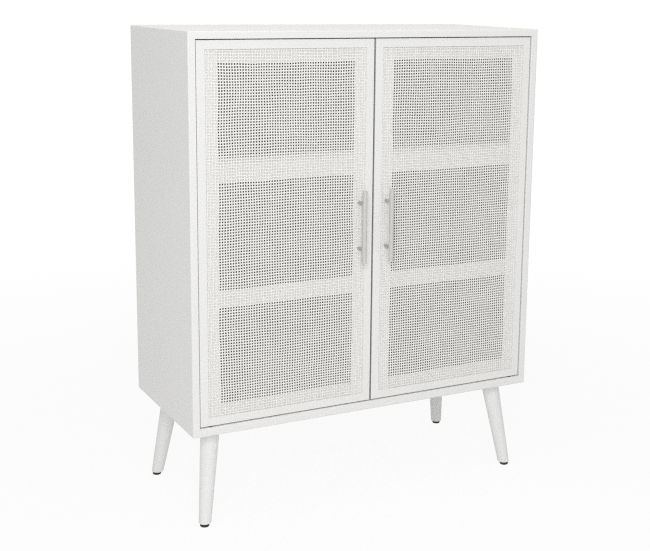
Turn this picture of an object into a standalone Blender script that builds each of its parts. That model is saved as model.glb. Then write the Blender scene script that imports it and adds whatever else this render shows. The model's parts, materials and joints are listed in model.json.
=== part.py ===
"""Storage cabinet with two inset doors, on four splayed turned legs.

The carcass is a mitred box of painted boards with a thin back in a groove and two
shelves on pins. Each door is a stile-and-rail frame with stub tenons, a woven panel let
into a shallow recess in its face, and a bar handle on two posts. The doors turn on pins
in flanged bushes, so that no hinge shows, and a double magnetic catch holds them shut.

Units are metres. X runs along the front, Y from front to back and Z up. The origin is
under the middle of the whole cabinet, handles included, on the floor.
"""

import math

import bmesh
import bpy
from mathutils import Matrix, Vector

# Carcass
carcass_width = 0.800
carcass_depth = 0.350
carcass_height = 0.800
leg_height = 0.200
panel_thickness = 0.015
bottom_thickness = 0.018
carcass_round = 0.003
opening_chamfer = 0.0008
fit_gap = 0.0003

# Back panel and the groove that holds it
back_thickness = 0.003
back_inset = 0.008
groove_depth = 0.006

# Shelves, measured from the underside of the carcass to the top of the board
shelf_thickness = 0.015
upper_shelf_level = 0.5505
shelf_spacing = 0.288
shelf_setback = 0.045
shelf_back_gap = 0.0005
shelf_round = 0.001

# Shelf pins
pin_radius = 0.0025
pin_in_wall = 0.008
pin_under_shelf = 0.008
pin_collar_radius = 0.004
pin_collar_thickness = 0.001
pin_edge_distance = 0.040
pin_hole_spacing = 0.032

# Legs: the inset is from the carcass sides to the leg's axis at its top
leg_inset = 0.058
leg_splay_side = 0.027
leg_splay_front = 0.0335
leg_top_radius = 0.020
leg_foot_radius = 0.0125
leg_foot_round = 0.0015
leg_overrun = 0.020

# Foot glides
glide_radius = 0.0095
glide_height = 0.0065
glide_round = 0.0012
glide_spigot_radius = 0.0035
glide_spigot_length = 0.010

# Screws that hold the legs, driven down through the bottom panel
screw_radius = 0.004
screw_grip = 0.030
screw_head_radius = 0.008
screw_head_height = 0.0035
screw_head_clearance = 0.0005
screw_socket_radius = 0.0029
screw_socket_depth = 0.0022

# Doors, set back a little from the front edges of the carcass
door_thickness = 0.018
door_setback = 0.003
door_side_gap = 0.002
door_middle_gap = 0.003
door_round = 0.0015
frame_width = 0.043
upper_mid_rail_width = 0.047
lower_mid_rail_width = 0.032
middle_light_height = 0.216
rail_bevel_height = 0.0145
rail_bevel_depth = 0.002
border_width = 0.0175
recess_depth = 0.003
tenon_length = 0.012
tenon_thickness = 0.005
tenon_shoulder = 0.008

# Woven panel: a net of flat bands
web_thickness = 0.002
web_columns = 8
web_rows = 16
web_band = 0.025

# Door pivots: the pin's axis is set in from the door's hinge edge
pivot_inset = 0.022
pivot_radius = 0.003
pivot_in_door = 0.025
pivot_in_bush = 0.007
pivot_bevel = 0.0006
bush_wall = 0.0017
bush_length = 0.008
bush_flange_radius = 0.008
bush_flange_thickness = 0.0014

# Bar handles: the standoff is from the door's face to the bar's axis
handle_edge_distance = 0.030
handle_standoff = 0.023
handle_length = 0.151
handle_radius = 0.005
handle_chamfer = 0.0006
post_spacing = 0.096
post_radius = 0.00375

# Magnetic catch and its strike plates
catch_width = 0.064
catch_depth = 0.014
catch_height = 0.012
catch_round = 0.0008
pole_width = 0.016
pole_thickness = 0.0015
pole_reach = 0.0008
pole_spacing = 0.005
strike_width = 0.022
strike_height = 0.012
strike_thickness = 0.0012
strike_edge_distance = 0.006
strike_top_distance = 0.003

# Facets of the round pieces
leg_steps = 28
glide_steps = 20
bar_steps = 20
post_steps = 16
pin_steps = 12
bush_steps = 16
screw_steps = 16
screw_socket_sides = 6

# Places worked out from the sizes above
half_width = carcass_width / 2
half_opening = half_width - panel_thickness
handle_reach = handle_standoff + handle_radius - door_setback
front_y = (handle_reach - carcass_depth) / 2
back_y = front_y + carcass_depth
carcass_low = leg_height
carcass_high = leg_height + carcass_height
opening_low = carcass_low + bottom_thickness
opening_high = carcass_high - panel_thickness
back_panel_rear = back_y - back_inset
back_panel_front = back_panel_rear - back_thickness
bush_radius = pivot_radius + fit_gap + bush_wall
door_end_gap = bush_flange_thickness + 2 * fit_gap
door_low = opening_low + door_end_gap
door_high = opening_high - door_end_gap
door_middle_z = (door_low + door_high) / 2
door_front = front_y + door_setback
door_back = door_front + door_thickness
recess_floor = door_front + recess_depth
pivot_y = door_front + door_thickness / 2
overcut = 0.010
flare_reach = 2 * opening_chamfer

FINISHES = {
    "white_paint": ((0.86, 0.86, 0.84, 1.0), 0.45, 0.0),
    "white_weave": ((0.84, 0.82, 0.78, 1.0), 0.70, 0.0),
    "satin_nickel": ((0.60, 0.60, 0.58, 1.0), 0.32, 1.0),
    "black_plastic": ((0.02, 0.02, 0.02, 1.0), 0.50, 0.0),
    "bright_steel": ((0.62, 0.63, 0.64, 1.0), 0.28, 1.0),
    "white_plastic": ((0.80, 0.80, 0.78, 1.0), 0.40, 0.0),
}


def clear_scene():
    for obj in list(bpy.data.objects):
        bpy.data.objects.remove(obj, do_unlink=True)


def new_collection(name):
    collection = bpy.data.collections.new(name)
    bpy.context.scene.collection.children.link(collection)
    return collection


def finish(obj, name):
    """Give the object a material of its own in one of the named finishes."""
    colour, roughness, metallic = FINISHES[name]
    material = bpy.data.materials.new(f"{obj.name}_{name}")
    material.use_nodes = True
    shader = material.node_tree.nodes["Principled BSDF"]
    shader.inputs["Base Color"].default_value = colour
    shader.inputs["Roughness"].default_value = roughness
    shader.inputs["Metallic"].default_value = metallic
    material.diffuse_color = colour
    obj.data.materials.clear()
    obj.data.materials.append(material)


def place(obj, name, collection):
    obj.name = name
    obj.data.name = name
    for owner in list(obj.users_collection):
        owner.objects.unlink(obj)
    collection.objects.link(obj)
    if collection is cutters:
        obj.hide_render = True
        obj.display_type = "WIRE"
    return obj


def shade_round(mesh):
    """Smooth shading that keeps the edges of end faces and steps sharp."""
    mesh.shade_smooth()
    mesh.set_sharp_from_angle(angle=math.radians(40))


def solid_from(shape, name, collection):
    """Turn a curve or a swept profile into a closed mesh that Booleans can use."""
    bpy.context.scene.collection.objects.link(shape)
    bpy.context.view_layer.update()
    evaluated = shape.evaluated_get(bpy.context.evaluated_depsgraph_get())
    mesh = bpy.data.meshes.new_from_object(evaluated)
    solid = bpy.data.objects.new(name, mesh)
    solid.matrix_world = shape.matrix_world
    bpy.data.objects.remove(shape, do_unlink=True)
    form = bmesh.new()
    form.from_mesh(mesh)
    bmesh.ops.remove_doubles(form, verts=form.verts, dist=0.00001)
    form.to_mesh(mesh)
    form.free()
    shade_round(mesh)
    return place(solid, name, collection)


def box(name, low, high, collection):
    """A box between two corners, with its scale applied."""
    low = Vector(low)
    high = Vector(high)
    bpy.ops.mesh.primitive_cube_add(size=1)
    obj = bpy.context.object
    obj.data.transform(Matrix.Diagonal((*(high - low), 1)))
    obj.location = (low + high) / 2
    return place(obj, name, collection)


def cylinder(name, radius, foot, length, steps, turn, collection):
    """A cylinder that starts at foot and runs along the turned Z axis."""
    bpy.ops.mesh.primitive_cylinder_add(vertices=steps, radius=radius, depth=length)
    obj = bpy.context.object
    obj.data.transform(Matrix.Translation((0, 0, length / 2)))
    obj.location = foot
    obj.rotation_euler = turn
    shade_round(obj.data)
    return place(obj, name, collection)


def turned(name, profile, steps, location, turn, collection, ring=False):
    """A profile of (radius, height) points, top to bottom, swept round the Z axis."""
    mesh = bpy.data.meshes.new(name)
    points = [(radius, 0, height) for radius, height in profile]
    lines = [(i, i + 1) for i in range(len(points) - 1)]
    if ring:
        lines.append((len(points) - 1, 0))
    mesh.from_pydata(points, lines, [])
    shape = bpy.data.objects.new(name, mesh)
    sweep = shape.modifiers.new("Turn", "SCREW")
    sweep.axis = "Z"
    sweep.angle = math.tau
    sweep.steps = steps
    sweep.render_steps = steps
    sweep.use_merge_vertices = True
    sweep.merge_threshold = 0.00001
    shape.location = location
    shape.rotation_euler = turn
    return solid_from(shape, name, collection)


def outline_solid(name, points, low_y, high_y, collection):
    """A flat outline in X and Z, given the thickness between two places in Y."""
    curve = bpy.data.curves.new(name, "CURVE")
    curve.dimensions = "2D"
    curve.fill_mode = "BOTH"
    curve.extrude = (high_y - low_y) / 2
    spline = curve.splines.new("POLY")
    spline.points.add(len(points) - 1)
    for point, (x, z) in zip(spline.points, points):
        point.co = (x, z, 0, 1)
    spline.use_cyclic_u = True
    flat = bpy.data.objects.new(name, curve)
    flat.location = (0, (low_y + high_y) / 2, 0)
    flat.rotation_euler = (math.radians(90), 0, 0)
    return solid_from(flat, name, collection)


def combine(obj, other, operation):
    joint = obj.modifiers.new(other.name, "BOOLEAN")
    joint.operation = operation
    joint.solver = "EXACT"
    joint.object = other


def cut(obj, cutter):
    combine(obj, cutter, "DIFFERENCE")


def keep_inside(obj, other):
    combine(obj, other, "INTERSECT")


def join(obj, other):
    combine(obj, other, "UNION")


def round_edges(obj, width, segments):
    bevel = obj.modifiers.new("Round", "BEVEL")
    bevel.width = width
    bevel.segments = segments
    bevel.limit_method = "ANGLE"
    bevel.angle_limit = math.radians(50)
    return bevel


def carry(parent, pieces):
    """Parent the pieces to an empty without moving them."""
    bpy.context.view_layer.update()
    for piece in pieces:
        piece.parent = parent
        piece.matrix_parent_inverse = parent.matrix_world.inverted()


def carcass_blank():
    """The whole box before it is cut into its four boards at the mitres.

    The opening is flared by a block whose bevel crosses the front edges at 45 degrees.
    """
    blank = box(
        "carcass_blank",
        (-half_width, front_y, carcass_low),
        (half_width, back_y, carcass_high),
        cutters,
    )
    round_edges(blank, carcass_round, 3)
    hollow = box(
        "carcass_hollow",
        (-half_opening, front_y - overcut, opening_low),
        (half_opening, back_y + overcut, opening_high),
        cutters,
    )
    cut(blank, hollow)
    flare = box(
        "opening_flare",
        (-half_opening - flare_reach, front_y - overcut, opening_low - flare_reach),
        (half_opening + flare_reach, front_y + flare_reach, opening_high + flare_reach),
        cutters,
    )
    round_edges(flare, 2 * flare_reach - opening_chamfer, 1)
    cut(blank, flare)
    groove = box(
        "back_groove",
        (-half_opening - groove_depth, back_panel_front - fit_gap, opening_low - groove_depth),
        (half_opening + groove_depth, back_panel_rear + fit_gap, opening_high + groove_depth),
        cutters,
    )
    cut(blank, groove)
    return blank


def mitre_point(side, end, reach):
    """A point on the mitre of one corner: reach 0 is its inner corner, 1 its outer one."""
    inner = Vector((side * half_opening, opening_high if end > 0 else opening_low))
    outer = Vector((side * half_width, carcass_high if end > 0 else carcass_low))
    return inner.lerp(outer, reach)


def carcass_board(name, corners, shift, blank):
    """One board: the part of the blank between the mitres at its two corners."""
    inside = -1.5
    outside = 2.0
    first, second = corners
    outline = [
        mitre_point(*first, outside),
        mitre_point(*second, outside),
        mitre_point(*second, inside),
        mitre_point(*first, inside),
    ]
    points = [point + Vector(shift) for point in outline]
    board = outline_solid(name, points, front_y - overcut, back_y + overcut, parts)
    keep_inside(board, blank)
    finish(board, "white_paint")
    return board


def carcass():
    blank = carcass_blank()
    away = fit_gap / math.sqrt(2)
    boards = {
        "top": carcass_board("top_panel", ((-1, 1), (1, 1)), (0, away), blank),
        "bottom": carcass_board("bottom_panel", ((-1, -1), (1, -1)), (0, -away), blank),
        "left": carcass_board("left_side_panel", ((-1, -1), (-1, 1)), (-away, 0), blank),
        "right": carcass_board("right_side_panel", ((1, -1), (1, 1)), (away, 0), blank),
    }
    reach = groove_depth - fit_gap
    back = box(
        "back_panel",
        (-half_opening - reach, back_panel_front, opening_low - reach),
        (half_opening + reach, back_panel_rear, opening_high + reach),
        parts,
    )
    finish(back, "white_paint")
    return boards


def shelf(name, level, boards):
    """A loose board on four pins, with spare pin holes above and below each one."""
    high = carcass_low + level
    low = high - shelf_thickness
    end_gap = pin_collar_thickness + 2 * fit_gap
    front = front_y + shelf_setback
    back = back_panel_front - shelf_back_gap
    board = box(
        name,
        (-half_opening + end_gap, front, low),
        (half_opening - end_gap, back, high),
        parts,
    )
    round_edges(board, shelf_round, 2)
    finish(board, "white_paint")
    pin_z = low - fit_gap - pin_radius
    for side, side_name in ((-1, "left"), (1, "right")):
        for pin_y, place_name in ((front + pin_edge_distance, "front"), (back - pin_edge_distance, "back")):
            pin_name = f"{name}_pin_{place_name}_{side_name}"
            shelf_pin(pin_name, side, pin_y, pin_z, boards[side_name])


def shelf_pin(name, side, pin_y, pin_z, board):
    profile = [
        (0, pin_under_shelf),
        (pin_radius, pin_under_shelf),
        (pin_radius, fit_gap + pin_collar_thickness),
        (pin_collar_radius, fit_gap + pin_collar_thickness),
        (pin_collar_radius, fit_gap),
        (pin_radius, fit_gap),
        (pin_radius, -pin_in_wall),
        (0, -pin_in_wall),
    ]
    wall = Vector((side * half_opening, pin_y, pin_z))
    turn = (0, -side * math.radians(90), 0)
    pin = turned(name, profile, pin_steps, wall, turn, parts)
    finish(pin, "bright_steel")
    depth = pin_in_wall + fit_gap
    radius = pin_radius + fit_gap
    for step in (-1, 0, 1):
        foot = wall + Vector((side * depth, 0, step * pin_hole_spacing))
        hole = cylinder(f"{name}_hole", radius, foot, depth + overcut, pin_steps, turn, cutters)
        cut(board, hole)


def leg(name, side, end, bottom_panel):
    """A tapered round leg that leans outwards, with its glide and its screw."""
    middle_y = (front_y + back_y) / 2
    top = Vector((
        side * (half_width - leg_inset),
        middle_y + end * (carcass_depth / 2 - leg_inset),
        leg_height,
    ))
    foot = Vector((top.x + side * leg_splay_side, top.y + end * leg_splay_front, 0))
    axis = top - foot
    length = axis.length
    taper = (leg_top_radius - leg_foot_radius) / length
    profile = [
        (0, length + leg_overrun),
        (leg_top_radius + taper * leg_overrun, length + leg_overrun),
        (leg_foot_radius - taper * leg_overrun, -leg_overrun),
        (0, -leg_overrun),
    ]
    turn = axis.to_track_quat("Z", "Y").to_euler()
    body = turned(f"{name}_leg", profile, leg_steps, foot, turn, parts)
    reach_x = leg_splay_side + 2 * leg_top_radius
    reach_y = leg_splay_front + 2 * leg_top_radius
    level_cut = box(
        f"{name}_leg_ends",
        (top.x - reach_x, top.y - reach_y, glide_height + fit_gap),
        (top.x + reach_x, top.y + reach_y, leg_height - fit_gap),
        cutters,
    )
    keep_inside(body, level_cut)
    round_edges(body, leg_foot_round, 2)
    finish(body, "white_paint")
    foot_glide(name, foot, body)
    leg_screw(name, top, body, bottom_panel)


def foot_glide(name, foot, body):
    """A flat plastic glide whose spigot sits in the end of the leg."""
    seat = glide_height + fit_gap
    profile = [
        (0, glide_height + glide_spigot_length),
        (glide_spigot_radius, glide_height + glide_spigot_length),
        (glide_spigot_radius, glide_height),
        (glide_radius, glide_height),
        (glide_radius, glide_round),
        (glide_radius - glide_round, 0),
        (0, 0),
    ]
    glide = turned(f"{name}_foot_glide", profile, glide_steps, foot, (0, 0, 0), parts)
    finish(glide, "black_plastic")
    hole_foot = foot + Vector((0, 0, seat - overcut))
    hole_length = overcut + glide_spigot_length
    hole = cylinder(
        f"{name}_glide_hole",
        glide_spigot_radius + fit_gap,
        hole_foot,
        hole_length,
        glide_steps,
        (0, 0, 0),
        cutters,
    )
    cut(body, hole)


def leg_screw(name, top, body, bottom_panel):
    """A flat-headed screw, sunk in the bottom panel, that runs down into the leg."""
    head_top = opening_low - screw_head_clearance
    head_low = head_top - screw_head_height
    tip = leg_height - screw_grip
    profile = [
        (0, head_top),
        (screw_head_radius, head_top),
        (screw_head_radius, head_low),
        (screw_radius, head_low),
        (screw_radius, tip),
        (0, tip),
    ]
    axis = Vector((top.x, top.y, 0))
    screw = turned(f"{name}_leg_screw", profile, screw_steps, axis, (0, 0, 0), parts)
    socket = cylinder(
        f"{name}_socket",
        screw_socket_radius,
        axis + Vector((0, 0, head_top - screw_socket_depth)),
        screw_socket_depth + overcut,
        screw_socket_sides,
        (0, 0, 0),
        cutters,
    )
    cut(screw, socket)
    finish(screw, "bright_steel")
    head_bore = cylinder(
        f"{name}_head_bore",
        screw_head_radius + screw_head_clearance,
        axis + Vector((0, 0, head_low - fit_gap)),
        overcut + bottom_thickness,
        screw_steps,
        (0, 0, 0),
        cutters,
    )
    cut(bottom_panel, head_bore)
    shank_bore = cylinder(
        f"{name}_shank_bore",
        screw_radius + fit_gap,
        axis + Vector((0, 0, tip - fit_gap)),
        screw_grip + bottom_thickness,
        screw_steps,
        (0, 0, 0),
        cutters,
    )
    cut(bottom_panel, shank_bore)
    cut(body, shank_bore)


class Door:
    """One door: side is -1 for the left one and 1 for the right one."""

    def __init__(self, side, name):
        self.side = side
        self.name = name
        self.pieces = []
        self.hinge_edge = half_opening - door_side_gap
        self.meeting_edge = door_middle_gap / 2
        self.pivot_x = side * (self.hinge_edge - pivot_inset)

    def span(self, first, second):
        """The lower and higher X of a stretch given by distances from the middle."""
        return sorted((self.side * first, self.side * second))

    def block(self, suffix, across, depth, height, collection):
        left, right = self.span(*across)
        low = (left, depth[0], height[0])
        high = (right, depth[1], height[1])
        piece = box(f"{self.name}_{suffix}", low, high, collection)
        self.pieces.append(piece)
        return piece

    def frame(self):
        """Two stiles and four rails, cut from one rounded blank with a recess."""
        depth = (door_front, door_back)
        blank = self.block(
            "blank", (self.meeting_edge, self.hinge_edge), depth, (door_low, door_high), cutters
        )
        round_edges(blank, door_round, 2)
        self.recess = self.block(
            "recess",
            (self.meeting_edge + border_width, self.hinge_edge - border_width),
            (door_front - overcut, recess_floor),
            (door_low + border_width, door_high - border_width),
            cutters,
        )
        cut(blank, self.recess)
        through = (door_front - overcut, door_back + overcut)
        full_height = (door_low - overcut, door_high + overcut)
        hinge_line = self.hinge_edge - frame_width
        meeting_line = self.meeting_edge + frame_width
        self.hinge_stile = self.block(
            "hinge_stile", (hinge_line, self.hinge_edge + overcut), through, full_height, parts
        )
        self.meeting_stile = self.block(
            "meeting_stile", (self.meeting_edge - overcut, meeting_line), through, full_height, parts
        )
        for stile in (self.hinge_stile, self.meeting_stile):
            keep_inside(stile, blank)
            finish(stile, "white_paint")
        between = (meeting_line + fit_gap, hinge_line - fit_gap)
        upper_light = door_middle_z + middle_light_height / 2
        lower_light = door_middle_z - middle_light_height / 2
        rails = (
            ("top_rail", door_high - frame_width, door_high, 0, overcut),
            ("upper_mid_rail", upper_light, upper_light + upper_mid_rail_width, 0, 0),
            ("lower_mid_rail", lower_light - lower_mid_rail_width, lower_light, 0, 0),
            ("bottom_rail", door_low, door_low + frame_width, overcut, 0),
        )
        for suffix, low, high, below, above in rails:
            rail = self.block(suffix, between, through, (low - below, high + above), parts)
            keep_inside(rail, blank)
            if suffix == "upper_mid_rail":
                self.bevelled_top(rail, high)
            self.tenons(rail, suffix, low, high)
            finish(rail, "white_paint")

    def bevelled_top(self, rail, high):
        """Plane the rail's face back towards its upper edge."""
        slope = math.hypot(rail_bevel_height, rail_bevel_depth)
        out = -rail_bevel_height / slope
        up = rail_bevel_depth / slope
        plane = box(
            f"{rail.name}_bevel",
            (-half_width, -rail_bevel_height / 2, -rail_bevel_height),
            (half_width, rail_bevel_height / 2, rail_bevel_height),
            cutters,
        )
        plane.rotation_euler = (-math.atan2(rail_bevel_depth, rail_bevel_height), 0, 0)
        plane.location = (
            0,
            recess_floor + rail_bevel_depth / 2 + out * rail_bevel_height / 2,
            high - rail_bevel_height / 2 + up * rail_bevel_height / 2,
        )
        cut(rail, plane)

    def tenons(self, rail, suffix, low, high):
        """A tongue right through the rail makes both of its tenons."""
        middle = (recess_floor + door_back) / 2
        first = self.meeting_edge + frame_width - tenon_length
        last = self.hinge_edge - frame_width + tenon_length
        front = middle - tenon_thickness / 2
        back = middle + tenon_thickness / 2
        tongue = self.block(
            f"{suffix}_tongue",
            (first, last),
            (front, back),
            (low + tenon_shoulder, high - tenon_shoulder),
            cutters,
        )
        join(rail, tongue)
        mortise = self.block(
            f"{suffix}_mortise",
            (first - fit_gap, last + fit_gap),
            (front - fit_gap, back + fit_gap),
            (low + tenon_shoulder - fit_gap, high - tenon_shoulder + fit_gap),
            cutters,
        )
        cut(self.hinge_stile, mortise)
        cut(self.meeting_stile, mortise)

    def woven_panel(self):
        """A net of flat bands, let into the recess."""
        left, right = self.span(
            self.meeting_edge + border_width + fit_gap, self.hinge_edge - border_width - fit_gap
        )
        low = door_low + border_width + fit_gap
        high = door_high - border_width - fit_gap
        form = bmesh.new()
        bmesh.ops.create_grid(form, x_segments=web_columns, y_segments=web_rows, size=0.5)
        bmesh.ops.scale(form, vec=(right - left, high - low, 1), verts=form.verts)
        cells = list(form.faces)
        bmesh.ops.inset_individual(form, faces=cells, thickness=web_band / 2, use_even_offset=True)
        bmesh.ops.delete(form, geom=cells, context="FACES")
        mesh = bpy.data.meshes.new(f"{self.name}_woven_panel")
        form.to_mesh(mesh)
        form.free()
        net = bpy.data.objects.new(mesh.name, mesh)
        thicken = net.modifiers.new("Thickness", "SOLIDIFY")
        thicken.thickness = web_thickness
        thicken.offset = 0
        middle_y = recess_floor - fit_gap - web_thickness / 2
        net.location = ((left + right) / 2, middle_y, (low + high) / 2)
        net.rotation_euler = (math.radians(90), 0, 0)
        place(net, mesh.name, parts)
        finish(net, "white_weave")
        self.pieces.append(net)
        return net

    def handle(self, net):
        """A round bar on two posts, whose ends are coped to fit it."""
        bar_x = self.side * (self.meeting_edge + handle_edge_distance)
        bar_y = door_front - handle_standoff
        half = handle_length / 2
        shoulder = handle_radius - handle_chamfer
        profile = [
            (0, half),
            (shoulder, half),
            (handle_radius, half - handle_chamfer),
            (handle_radius, handle_chamfer - half),
            (shoulder, -half),
            (0, -half),
        ]
        middle = Vector((bar_x, bar_y, door_middle_z))
        bar = turned(f"{self.name}_handle_bar", profile, bar_steps, middle, (0, 0, 0), parts)
        finish(bar, "satin_nickel")
        saddle = cylinder(
            f"{self.name}_handle_saddle",
            handle_radius + fit_gap,
            middle - Vector((0, 0, half)),
            handle_length,
            bar_steps,
            (0, 0, 0),
            cutters,
        )
        self.pieces += [bar, saddle]
        seat = recess_floor - fit_gap
        post_length = seat - bar_y
        forward = (math.radians(90), 0, 0)
        for place_name, rise in (("upper", post_spacing / 2), ("lower", -post_spacing / 2)):
            base = Vector((bar_x, seat, door_middle_z + rise))
            post = cylinder(
                f"{self.name}_handle_post_{place_name}",
                post_radius,
                base,
                post_length,
                post_steps,
                forward,
                parts,
            )
            cut(post, saddle)
            finish(post, "satin_nickel")
            hole = cylinder(
                f"{self.name}_post_hole_{place_name}",
                post_radius + fit_gap,
                base + Vector((0, overcut, 0)),
                2 * overcut,
                post_steps,
                forward,
                cutters,
            )
            cut(net, hole)
            self.pieces += [post, hole]

    def pivots(self, boards):
        """A pin at each end of the hinge stile, and the bush in the carcass that it turns in."""
        over = (math.radians(180), 0, 0)
        ends = (
            ("bottom", (0, 0, 0), door_low, opening_low, 1),
            ("top", over, door_high, opening_high, -1),
        )
        for end_name, turn, door_end, opening_end, up in ends:
            axis = Vector((self.pivot_x, pivot_y, 0))
            board = boards[end_name]
            self.pivot_pin(end_name, turn, axis + Vector((0, 0, door_end)), up)
            self.pivot_bush(end_name, turn, axis + Vector((0, 0, opening_end)), up, board)

    def pivot_pin(self, end_name, turn, end_point, up):
        reach = door_end_gap + pivot_in_bush
        shoulder = pivot_radius - pivot_bevel
        profile = [
            (0, pivot_in_door),
            (shoulder, pivot_in_door),
            (pivot_radius, pivot_in_door - pivot_bevel),
            (pivot_radius, pivot_bevel - reach),
            (shoulder, -reach),
            (0, -reach),
        ]
        pin = turned(
            f"{self.name}_{end_name}_pivot_pin", profile, pin_steps, end_point, turn, parts
        )
        finish(pin, "bright_steel")
        hole = cylinder(
            f"{self.name}_{end_name}_pivot_hole",
            pivot_radius + fit_gap,
            end_point - Vector((0, 0, up * overcut)),
            overcut + pivot_in_door + fit_gap,
            pin_steps,
            turn,
            cutters,
        )
        cut(self.hinge_stile, hole)
        self.pieces += [pin, hole]

    def pivot_bush(self, end_name, turn, seat, up, board):
        inner = pivot_radius + fit_gap
        flange_low = fit_gap
        flange_high = fit_gap + bush_flange_thickness
        profile = [
            (inner, flange_high),
            (bush_flange_radius, flange_high),
            (bush_flange_radius, flange_low),
            (bush_radius, flange_low),
            (bush_radius, -bush_length),
            (inner, -bush_length),
        ]
        bush = turned(
            f"{self.name}_{end_name}_pivot_bush", profile, bush_steps, seat, turn, parts, ring=True
        )
        finish(bush, "black_plastic")
        hole = cylinder(
            f"{self.name}_{end_name}_bush_hole",
            bush_radius + fit_gap,
            seat - Vector((0, 0, up * (bush_length + fit_gap))),
            bush_length + fit_gap + overcut,
            bush_steps,
            turn,
            cutters,
        )
        cut(board, hole)

    def strike_plate(self):
        """A steel plate on the back of the meeting stile, for the magnetic catch."""
        first = self.meeting_edge + strike_edge_distance
        high = door_high - strike_top_distance
        near = door_back + fit_gap
        plate = self.block(
            "strike_plate",
            (first, first + strike_width),
            (near, near + strike_thickness),
            (high - strike_height, high),
            parts,
        )
        finish(plate, "bright_steel")

    def build(self, boards):
        self.frame()
        net = self.woven_panel()
        self.handle(net)
        self.pivots(boards)
        self.strike_plate()
        axis = bpy.data.objects.new(f"{self.name}_hinge_axis", None)
        axis.location = (self.pivot_x, pivot_y, door_low)
        axis.empty_display_size = 0.05
        parts.objects.link(axis)
        carry(axis, self.pieces)


def magnetic_catch():
    """A double catch under the top panel, with two thin poles for each door."""
    strike_back = door_back + fit_gap + strike_thickness
    front = strike_back + fit_gap + pole_reach
    high = opening_high - fit_gap
    low = high - catch_height
    housing = box(
        "magnetic_catch",
        (-catch_width / 2, front, low),
        (catch_width / 2, front + catch_depth, high),
        parts,
    )
    round_edges(housing, catch_round, 1)
    strike_middle = door_middle_gap / 2 + strike_edge_distance + strike_width / 2
    middle_z = (low + high) / 2
    for side, side_name in ((-1, "left"), (1, "right")):
        for step, step_name in ((-0.5, "low"), (0.5, "high")):
            pole_z = middle_z + step * pole_spacing
            pole = box(
                f"catch_pole_{side_name}_{step_name}",
                (side * strike_middle - pole_width / 2, front - pole_reach, pole_z - pole_thickness / 2),
                (side * strike_middle + pole_width / 2, front + pole_reach, pole_z + pole_thickness / 2),
                cutters,
            )
            join(housing, pole)
    finish(housing, "white_plastic")


def storage_cabinet():
    boards = carcass()
    shelf("upper_shelf", upper_shelf_level, boards)
    shelf("lower_shelf", upper_shelf_level - shelf_spacing, boards)
    for end, end_name in ((-1, "front"), (1, "back")):
        for side, side_name in ((-1, "left"), (1, "right")):
            leg(f"{end_name}_{side_name}", side, end, boards["bottom"])
    Door(-1, "left_door").build(boards)
    Door(1, "right_door").build(boards)
    magnetic_catch()


clear_scene()
parts = new_collection("storage_cabinet")
cutters = new_collection("cutters")
storage_cabinet()
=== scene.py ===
"""Looks of the storage cabinet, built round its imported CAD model.

The CAD nodes give every size and place. Boards, legs and fittings get their finish here,
the flat nets in the doors give way to panels woven strand by strand, and the small
fasteners are added. Metres, X along the front, Y from front to back, Z up.
"""

import json
import math

import bmesh
import bpy
from mathutils import Matrix, Vector

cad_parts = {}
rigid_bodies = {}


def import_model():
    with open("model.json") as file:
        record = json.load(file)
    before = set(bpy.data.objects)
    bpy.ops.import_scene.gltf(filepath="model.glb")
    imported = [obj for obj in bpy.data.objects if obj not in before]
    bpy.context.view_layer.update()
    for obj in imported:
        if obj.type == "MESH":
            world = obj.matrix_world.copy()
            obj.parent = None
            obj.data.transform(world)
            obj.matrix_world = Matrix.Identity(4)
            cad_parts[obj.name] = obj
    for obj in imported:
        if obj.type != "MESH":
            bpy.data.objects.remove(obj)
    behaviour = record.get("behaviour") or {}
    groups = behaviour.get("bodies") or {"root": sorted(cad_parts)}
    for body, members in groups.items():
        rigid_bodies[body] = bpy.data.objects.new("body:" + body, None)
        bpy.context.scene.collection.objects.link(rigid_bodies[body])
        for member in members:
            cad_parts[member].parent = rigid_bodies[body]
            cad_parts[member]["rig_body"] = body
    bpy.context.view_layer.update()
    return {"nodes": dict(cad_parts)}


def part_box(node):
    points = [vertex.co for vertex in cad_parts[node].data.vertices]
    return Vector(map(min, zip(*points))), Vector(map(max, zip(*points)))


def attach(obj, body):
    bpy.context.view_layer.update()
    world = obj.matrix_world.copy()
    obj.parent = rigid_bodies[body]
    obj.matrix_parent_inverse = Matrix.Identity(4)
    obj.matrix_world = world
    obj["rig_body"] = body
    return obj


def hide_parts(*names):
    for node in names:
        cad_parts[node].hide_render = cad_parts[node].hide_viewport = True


bl_info = {
    "name": "Storage cabinet looks",
    "version": (1, 0, 0),
    "blender": (4, 5, 0),
    "location": "3D View > Sidebar > Cabinet",
    "description": "Finishes, woven door panels and fasteners of a two-door cabinet",
    "category": "Object",
}

for leftover in list(bpy.data.objects):
    bpy.data.objects.remove(leftover, do_unlink=True)

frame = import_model()

DOORS = ("left_door", "right_door")
SIDES = {"left_door": -1, "right_door": 1}
CARCASS = ("top_panel", "bottom_panel", "left_side_panel", "right_side_panel")
STILES = ("hinge_stile", "meeting_stile")
RAILS = ("top_rail", "upper_mid_rail", "lower_mid_rail", "bottom_rail")
LEGS = ("front_left", "front_right", "back_left", "back_right")
SHELVES = ("upper_shelf", "lower_shelf")

# Corners of a CAD mesh this near are one, edges bent more than this stay sharp, and a face
# looks in a direction when the cosine between them is above this
MERGE_DISTANCE = 0.000005
SHARP_ANGLE = math.radians(38)
FACING_MATCH = 0.999

# The gaps that paint fills, the weave's bed, and the band of painted shade where the doors meet
JOINT_GAP = 0.0003
BED_DEPTH = 0.0004
GAP_SHADE_REACH = 0.0006
EDGE_FADE = 0.0002

# Patterns on Object coordinates are stretched along one of these directions
ALONG_X = (1, 0, 0)
ALONG_Y = (0, 1, 0)
ALONG_Z = (0, 0, 1)

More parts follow.
